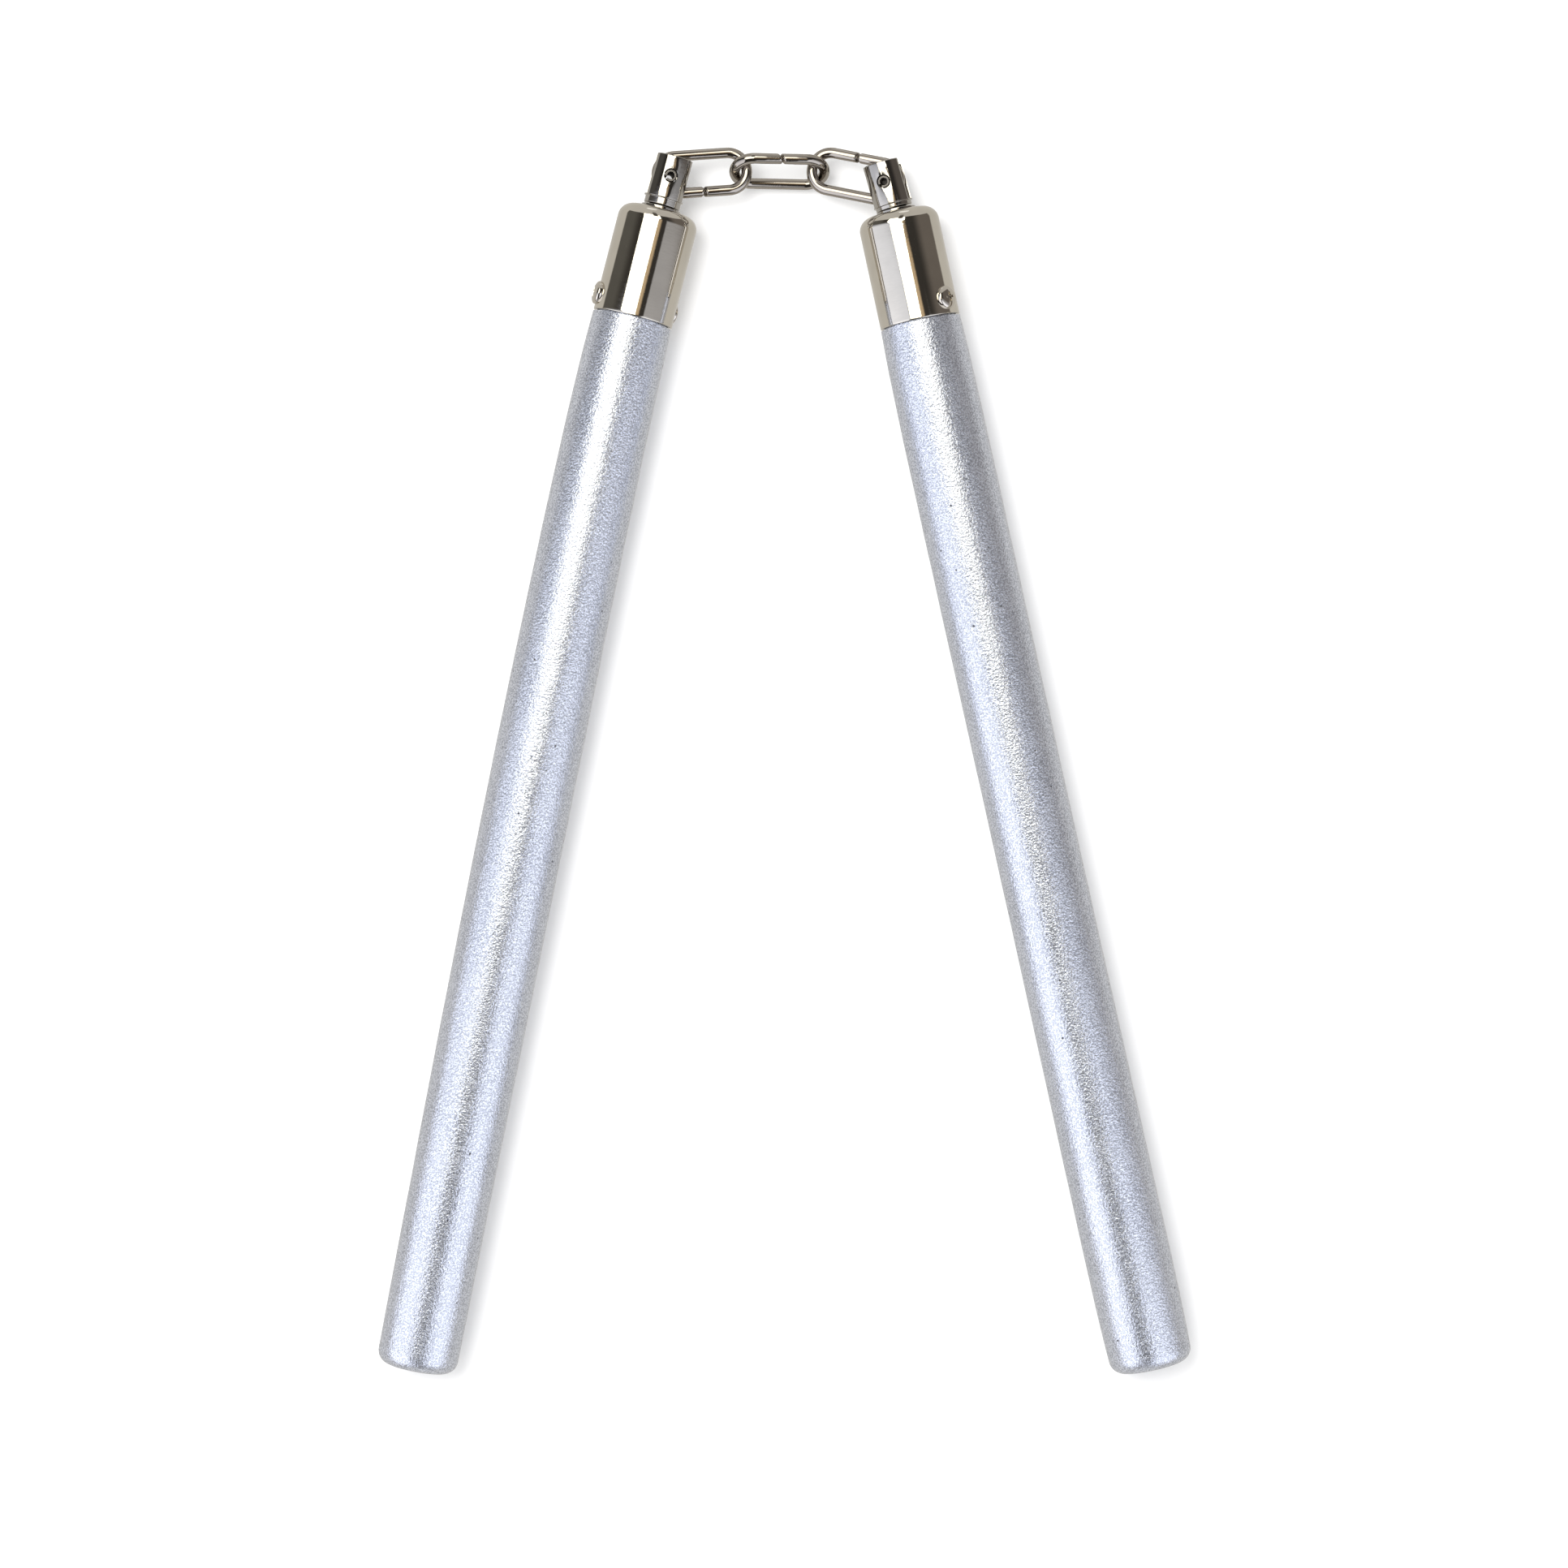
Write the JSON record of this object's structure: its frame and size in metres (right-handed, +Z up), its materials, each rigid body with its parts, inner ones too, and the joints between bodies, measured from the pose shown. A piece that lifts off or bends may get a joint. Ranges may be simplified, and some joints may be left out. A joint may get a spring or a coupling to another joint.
{
  "type": "nunchaku",
  "caption": "Two turned, silver-painted wooden handles with nickel caps and ball-bearing swivels, joined by a short chain of bent-wire links.",
  "frame": {"origin": "bottom centre of the whole object's box, as it lies on a surface", "axes": "+Z up, +Y from the butts towards the chain, +X from the left handle to the right one"},
  "size_m": [0.2086, 0.3158, 0.0221],
  "materials": {
    "handle_paint": "silver metallic lacquer with a fine orange-peel texture over turned wood",
    "cap_nickel": "polished nickel plate",
    "screw_nickel": "polished nickel plate",
    "yoke_nickel": "polished nickel plate",
    "washer_nickel": "polished nickel plate",
    "pin_steel": "rolled spring steel, bright",
    "link_nickel": "nickel-plated bent wire with fine die marks",
    "bearing_steel": "ground bearing steel"
  },
  "bodies": {
    "left_handle": {"left_handle": "handle_paint", "left_cap": "cap_nickel", "left_cap_screw_1": "screw_nickel", "left_cap_screw_2": "screw_nickel", "left_upper_race": "bearing_steel", "left_yoke_washer": "washer_nickel"},
    "left_ball_ring": {"left_bearing_ball_1": "bearing_steel", "left_bearing_ball_2": "bearing_steel", "left_bearing_ball_3": "bearing_steel", "left_bearing_ball_4": "bearing_steel", "left_bearing_ball_5": "bearing_steel", "left_bearing_ball_6": "bearing_steel", "left_bearing_ball_7": "bearing_steel", "left_bearing_ball_8": "bearing_steel"},
    "left_yoke": {"left_swivel_yoke": "yoke_nickel", "left_yoke_pin": "pin_steel", "left_lower_race": "bearing_steel", "left_lock_nut": "bearing_steel"},
    "left_link": {"left_end_link": "link_nickel"},
    "middle_link": {"middle_link": "link_nickel"},
    "right_link": {"right_end_link": "link_nickel"},
    "right_yoke": {"right_swivel_yoke": "yoke_nickel", "right_yoke_pin": "pin_steel", "right_lower_race": "bearing_steel", "right_lock_nut": "bearing_steel"},
    "right_handle": {"right_handle": "handle_paint", "right_cap": "cap_nickel", "right_cap_screw_1": "screw_nickel", "right_cap_screw_2": "screw_nickel", "right_upper_race": "bearing_steel", "right_yoke_washer": "washer_nickel"},
    "right_ball_ring": {"right_bearing_ball_1": "bearing_steel", "right_bearing_ball_2": "bearing_steel", "right_bearing_ball_3": "bearing_steel", "right_bearing_ball_4": "bearing_steel", "right_bearing_ball_5": "bearing_steel", "right_bearing_ball_6": "bearing_steel", "right_bearing_ball_7": "bearing_steel", "right_bearing_ball_8": "bearing_steel"}
  },
  "joints": [
    {"name": "left_swivel", "type": "hinge", "parent": "left_handle", "child": "left_yoke", "pos_m": [-0.03112, 0.14408, 0.01103], "axis": [0.2656, 0.9641, 0], "continuous": true},
    {"name": "left_ball_roll", "type": "hinge", "parent": "left_handle", "child": "left_ball_ring", "pos_m": [-0.03112, 0.14408, 0.01103], "axis": [0.2656, 0.9641, 0], "continuous": true},
    {"name": "left_link_pivot", "type": "hinge", "parent": "left_yoke", "child": "left_link", "pos_m": [-0.028, 0.15039, 0.01089], "axis": [0.0937, 0.0592, 0.9938], "range_deg": [-22, 158]},
    {"name": "left_chain_lift", "type": "hinge", "parent": "left_link", "child": "middle_link", "pos_m": [-0.0097, 0.15187, 0.00908], "axis": [0.0852, -0.995, 0.0512], "range_deg": [-22, 30]},
    {"name": "right_chain_lift", "type": "hinge", "parent": "middle_link", "child": "right_link", "pos_m": [0.00721, 0.15272, 0.00704], "axis": [-0.2179, -0.9759, -0.0114], "range_deg": [-8, 70]},
    {"name": "right_link_pivot", "type": "hinge", "parent": "right_link", "child": "right_yoke", "pos_m": [0.02485, 0.14874, 0.01071], "axis": [0.1965, -0.0324, -0.98], "range_deg": [-150, 24]},
    {"name": "right_swivel", "type": "hinge", "parent": "right_yoke", "child": "right_handle", "pos_m": [0.02804, 0.14271, 0.01103], "axis": [-0.2723, 0.9622, 0], "continuous": true},
    {"name": "right_ball_roll", "type": "hinge", "parent": "right_handle", "child": "right_ball_ring", "pos_m": [0.02804, 0.14271, 0.01103], "axis": [-0.2723, 0.9622, 0], "continuous": true}
  ],
  "couplings": [
    {"joint": "left_ball_roll", "follows": "left_swivel", "ratio": 0.5},
    {"joint": "right_ball_roll", "follows": "right_swivel", "ratio": -0.5}
  ]
}
